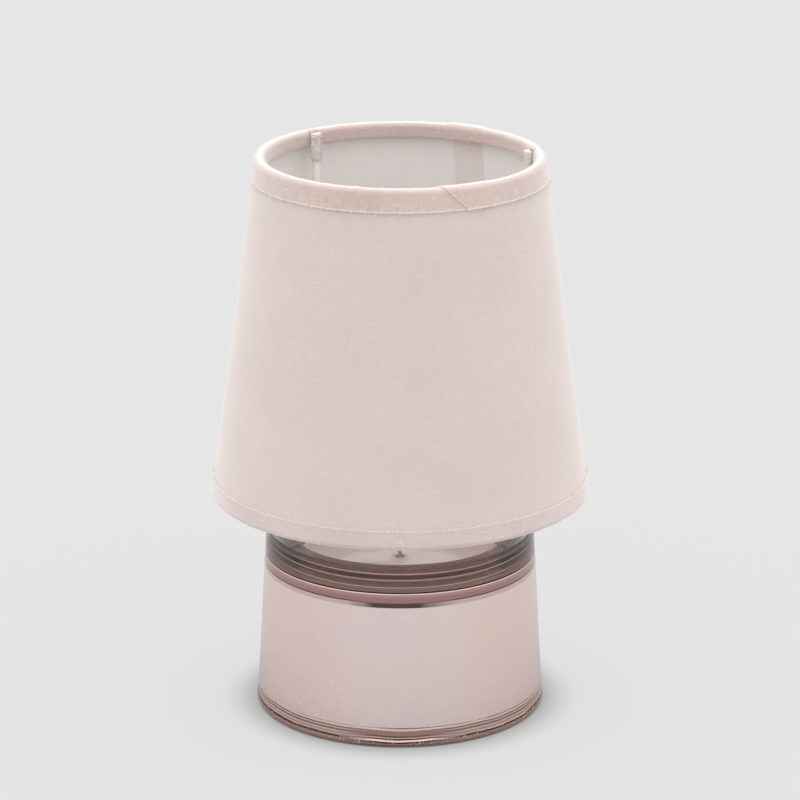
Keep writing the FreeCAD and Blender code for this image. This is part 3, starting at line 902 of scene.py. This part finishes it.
def tape_section(ring, width, way):
    """The middle of the tape's thickness, from its outer edge over the ring to its tucked edge.

    It comes with the length along it to each point. way is 1 for a tape that folds over a ring from below.
    """
    radius, height = ring
    middle = ROLL - TAPE / 2
    points = []
    for share in (0.0, 0.25, 0.5, 0.75):
        level = height - way * (width - ROLL) * (1 - share)
        points.append((tape_face(level) - TAPE / 2, level))
    fold = bend(tape_face(height) - ROLL, 0.0, middle, 0, 90, 12)
    fold += bend(radius - 0.05, 0.0, middle, 90, 180, 12)
    points += [(across, height + way * rise) for across, rise in fold]
    inner = radius - ROLL - 0.05 + TAPE / 2
    points += [(inner, height - way * RETURN_DROP * share) for share in (0.35, 0.7, 1.0)]
    tuck = height - way * TUCK_DROP
    points.append((tape_face(tuck) - TAPE - 0.9 - TAPE / 2, tuck))
    lengths = [0.0]
    for before, after in zip(points, points[1:]):
        lengths.append(lengths[-1] + math.dist(before, after))
    return points, lengths


def along_section(points, lengths, at):
    """The point and the outward direction at a distance along a section."""
    at = min(max(at, 0.0), lengths[-1])
    index = next(place for place in range(1, len(lengths)) if at <= lengths[place] + 1e-9)
    share = (at - lengths[index - 1]) / (lengths[index] - lengths[index - 1])
    (before, low), (after, high) = points[index - 1], points[index]
    length = math.dist(points[index - 1], points[index])
    return (before + (after - before) * share, low + (high - low) * share,
            (high - low) / length, -(after - before) / length)


def snip(azimuth):
    """How much of the fold's inner return is cut away round the legs, from 0 to 1."""
    off = min(angle_off(azimuth, leg) for leg in LEGS)
    return 1 - smooth_step(math.radians(SNIP[0]), math.radians(SNIP[1]), off)


def folded_tape(name, ring, width, way, joint, slant, snipped, curl, seed):
    """Tape folded over a ring, its last end lapped on the first and cut at a slant.

    joint is the azimuth of the cut at the tape's outer edge, and slant is how far the cut leans, in degrees.
    curl is how far that edge stands off the cloth.
    """
    points, lengths = tape_section(ring, width, way)
    total, columns, steps = lengths[-1], 46, 900
    joint = math.radians(joint)
    overlap = math.radians(TAPE_OVERLAP)
    end = joint + overlap * 0.8 + TURN

    def place(row, column):
        """Azimuth and distance along the section, in radians and millimetres."""
        reach = total * column / (columns - 1)
        start = joint - math.radians(slant) * min(reach / FOLD, 1.3)
        return start + (end - start) * row / steps, reach

    rows = []
    for row in range(steps + 1):
        face, back = [], []
        for column in range(columns):
            azimuth, reach = place(row, column)
            over = 1 - smooth_step(joint + overlap, joint + overlap * 2, azimuth)
            lapped = smooth_step(SEAM_HALF + 0.045, SEAM_HALF + 0.008, angle_off(azimuth, SEAM))
            ragged = Vector((azimuth * 40.0, seed, 0.0))
            edge = 0.1 * noise.noise(ragged) + 0.06 * noise.noise(ragged * 4.0)
            kept = total - (total - RETURN_START) * snip(azimuth) * snipped
            beyond = max(reach - FOLD, 0.0) * (kept - FOLD) / (total - FOLD)
            along = edge * (1 - min(reach / FOLD, 1.0)) + min(reach, FOLD) + beyond
            radius, height, out, up = along_section(points, lengths, along)
            pucker = 0.05 * noise.noise(Vector((azimuth * 9.0, reach / 5.0, seed + 7.0)))
            lifted = (TAPE - 0.1) * over + LAP_LIFT * lapped + pucker
            lifted += (curl + 0.05 * noise.noise(ragged * 0.35)) * max(1 - reach / 0.9, 0.0)
            radius += sway(azimuth, height)
            for side, line in ((0.5, face), (-0.5, back)):
                off = way * (lifted + side * (TAPE - 0.03))
                line.append(around(radius + out * off, height + up * off, azimuth))
        rows.append(face + back[::-1])

    def flat(row, column):
        azimuth, reach = place(row, there_and_back(column, columns))
        return azimuth * ring[0], reach

    piece = skin(name, [rows], capped=True, flat=flat)
    length = (TURN + overlap * 0.8) * (ring[0] + 1.2)
    return piece, (length * MM, total * MM), rows


def fibres(name, roots, thick, seed):
    """Short curled ends of yarn, each from a root along a direction, both in millimetres."""
    chance = random.Random(seed)
    strands = []
    for root, way in roots:
        length = chance.uniform(0.35, 1.1)
        curl = Vector([chance.uniform(-1, 1) for _ in range(3)])
        path = [root + way * (length * step / 3) + curl * (0.35 * (step / 3) ** 2) for step in range(4)]
        slim = thick * chance.uniform(0.7, 1.2)
        strands.append(wire(path, lambda share, slim=slim: slim * (1 - 0.5 * share), 4))
    return skin(name, strands, capped=True)


def edge_roots(rows, down, count, seed):
    """Places for loose yarn ends along a tape's outer edge, and their directions."""
    chance = random.Random(seed)
    roots = []
    for _ in range(count):
        root = rows[chance.randrange(len(rows))][0]
        out = Vector((root.x, root.y, 0.0)).normalized()
        way = (down * chance.uniform(0.3, 1.0) + out * chance.uniform(0.1, 0.7)
               + out.cross(down) * chance.uniform(-1.2, 1.2)).normalized()
        roots.append((root.copy(), way))
    return roots


def top_trim(tape, yarn):
    piece, size, rows = folded_tape("top_tape", TOP_RING, width=8.2, way=1, joint=-64.0, slant=11.0,
                                    snipped=True, curl=0.12, seed=1.0)
    finish_piece(piece, "shade", [tape], ["top_trim"])
    roots = edge_roots(rows, Vector((0, 0, -1)), count=420, seed=3)
    ends = fibres("top_tape_yarn_ends", roots, thick=0.085, seed=4)
    finish_piece(ends, "shade", [yarn])
    return piece, size, ends


def bottom_trim(tape, yarn):
    piece, size, rows = folded_tape("bottom_tape", BOTTOM_RING, width=7.4, way=-1, joint=100.0, slant=9.0,
                                    snipped=False, curl=0.04, seed=5.0)
    finish_piece(piece, "shade", [tape], ["bottom_trim"])
    roots = edge_roots(rows, Vector((0, 0, 1)), count=380, seed=5)
    ends = fibres("bottom_tape_yarn_ends", roots, thick=0.08, seed=6)
    finish_piece(ends, "shade", [yarn])


def leg_cuff(index, tape, yarn):
    """A scrap of white gauze glued round the top of a leg and over its end, with a torn lower edge."""
    out, side = around(1, 0, LEGS[index]), around(1, 0, LEGS[index] + math.pi / 2)
    steps, columns, closed = 44, 18, 4
    open_columns = columns - closed - 1
    rows, faces = [], []
    for step in range(steps + 1):
        turn = math.radians(CUFF_OPEN + (360 - 2 * CUFF_OPEN) * step / steps)
        torn = 0.55 * noise.noise(Vector((step / 3.0, index * 9.0, 0.0)))
        torn += 0.35 * noise.noise(Vector((step / 1.1, index, 4.0)))
        low = TOP_RING[1] - CUFF_LENGTH + torn
        face, back = [], []
        for column in range(columns):
            height = low + (TOP_RING[1] + CUFF_ABOVE - low) * min(column, open_columns) / open_columns
            closing = math.pi / 2 * max(0, column - open_columns) / closed
            height += 0.45 * math.sin(closing)
            crease = 0.06 + 0.06 * noise.noise(Vector((turn * 2.2, height / 1.8, index * 5.0)))
            for far, line in ((CUFF_FACE, face), (CUFF_BACK, back)):
                reach = (far + crease) * max(math.cos(closing), 0.04)
                line.append(out * (leg_axis(height) + reach * math.cos(turn))
                            + side * (reach * math.sin(turn)) + Vector((0, 0, height)))
        faces.append(face)
        rows.append(face + back[::-1])

    def flat(row, column):
        return row * 0.17, 0.65 * (column if column < columns else 2 * columns - 1 - column)

    piece = skin(f"leg_wrap_{index + 1}", [rows], capped=True, flat=flat)
    finish_piece(piece, "shade", [tape], [f"leg_cuff_{index + 1}"])

    # The second wrap is frayed all over and the others mostly at the torn edge
    shaggy = index == 1
    chance = random.Random(20 + index)
    roots = []
    for _ in range(320 if shaggy else 120):
        face = faces[chance.randrange(len(faces))]
        if shaggy:
            column = chance.randrange(open_columns + 1)
        else:
            column = min(int(abs(chance.gauss(0, 5))), open_columns)
        root = face[column]
        level = Vector((root.x, root.y, 0))
        away = level - out * level.dot(out)
        loose = Vector((chance.uniform(-1, 1), chance.uniform(-1, 1), chance.uniform(-1.2, 0.5)))
        roots.append((root.copy(), (loose - out * 0.6 + away * 0.1).normalized()))
    ends = fibres(f"leg_wrap_yarn_ends_{index + 1}", roots, thick=0.17, seed=30 + index)
    finish_piece(ends, "shade", [yarn])
    return [piece, ends]


# Studio


def studio():
    """A pale floor that runs into a pale backdrop, and soft light from all round, stronger from above."""
    scene = bpy.context.scene
    world = bpy.data.worlds.new("soft_studio")
    scene.world = world
    world.use_nodes = True
    tree = world.node_tree
    tree.nodes.clear()
    path = add(tree, "LightPath").outputs
    seen = add(tree, "Math", [path["Is Camera Ray"], path["Is Glossy Ray"]], operation="MAXIMUM")
    seen = add(tree, "Math", [seen, path["Is Transmission Ray"]], operation="MAXIMUM")
    across, _, up = add(tree, "SeparateXYZ", [add(tree, "TexCoord").outputs["Generated"]]).outputs
    above = add(tree, "MapRange", [up, 0.0, 1.0, *SKY_LIGHT])
    aside = add(tree, "Math", [across, across], operation="MULTIPLY")
    strength = add(tree, "Math", [aside, SIDE_LIGHT, above], operation="MULTIPLY_ADD")
    light = add(tree, "Background", {"Color": "FFFFFF", "Strength": strength})
    backdrop = add(tree, "Background", {"Color": BACKDROP, "Strength": 1.0})
    add(tree, "OutputWorld", {"Surface": add(tree, "MixShader", [seen, light, backdrop])})

    mesh = bpy.data.meshes.new("studio_floor")
    mesh.from_pydata([(-4, -4, 0), (4, -4, 0), (4, 4, 0), (-4, 4, 0)], [], [(0, 1, 2, 3)])
    floor = bpy.data.objects.new("studio_floor", mesh)
    scene.collection.objects.link(floor)
    material, tree, _ = start_material("matt_studio_board")
    path = add(tree, "LightPath").outputs
    seen = add(tree, "Math", [path["Is Camera Ray"], path["Is Transmission Ray"]], operation="MAXIMUM")
    board = add(tree, "BsdfDiffuse", {"Color": BOARD})
    near = add(tree, "AmbientOcclusion", {"Color": BACKDROP, "Distance": CONTACT_REACH * MM}, samples=12)
    # Through the glass the floor shows painted shade, a darker rose grey; the camera sees it pale with its
    # contact shadow
    under = add(tree, "Mix", {0: path["Is Camera Ray"], 6: BOARD_THROUGH_GLASS, 7: near.outputs["Color"]},
                data_type="RGBA")
    pale = add(tree, "Emission", {"Color": under, "Strength": 1.0})
    shown = add(tree, "MixShader", [BOARD_GLOW, board, pale])
    add(tree, "OutputMaterial", {"Surface": add(tree, "MixShader", [seen, board, shown])})
    mesh.materials.append(material)


def camera():
    """The photograph's view: a long lens a little above the shade, pitched down."""
    view = bpy.data.cameras.new("camera")
    view.sensor_width = 36.0
    view.lens = CAMERA_LENS
    view.clip_end = 40.0
    holder = bpy.data.objects.new("camera", view)
    bpy.context.scene.collection.objects.link(holder)
    holder.location = CAMERA_PLACE
    holder.rotation_euler = (math.radians(90 - CAMERA_PITCH), 0.0, 0.0)
    bpy.context.scene.camera = holder


glass_tumbler()
wax_fill()
wick()
for name, make in (("wick_tab", stamped_tinplate), ("top_ring", powder_coated_wire),
                   ("bottom_ring", powder_coated_wire)):
    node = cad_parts[name]
    node.data.materials.clear()
    node.data.materials.append(make())
    for face in node.data.polygons:
        face.material_index = 0

coat = powder_coated_wire()
seat_ring(coat)
for index in range(3):
    leg(index, coat)
    prong(index, coat)
top_cloth = edging_tape("heathered_cotton_tape", "C8B4AC", "D5C2BB", fold=9.6)
bottom_cloth = edging_tape("paler_heathered_cotton_tape", "CDBBB6", "D8C8C4", fold=8.1)
yarn = cut_thread()
fabric_cover(shade_cloth())
lining()
top, top_size, top_ends = top_trim(top_cloth, yarn)
gauze = torn_gauze()
wraps = [item for index in range(3) for item in leg_cuff(index, gauze, yarn)]
bottom_trim(bottom_cloth, yarn)
studio()
camera()

scene = bpy.context.scene
scene.view_settings.view_transform = "Standard"
scene.cycles.max_bounces = BOUNCES
scene.cycles.transmission_bounces = BOUNCES
scene.cycles.glossy_bounces = BOUNCES
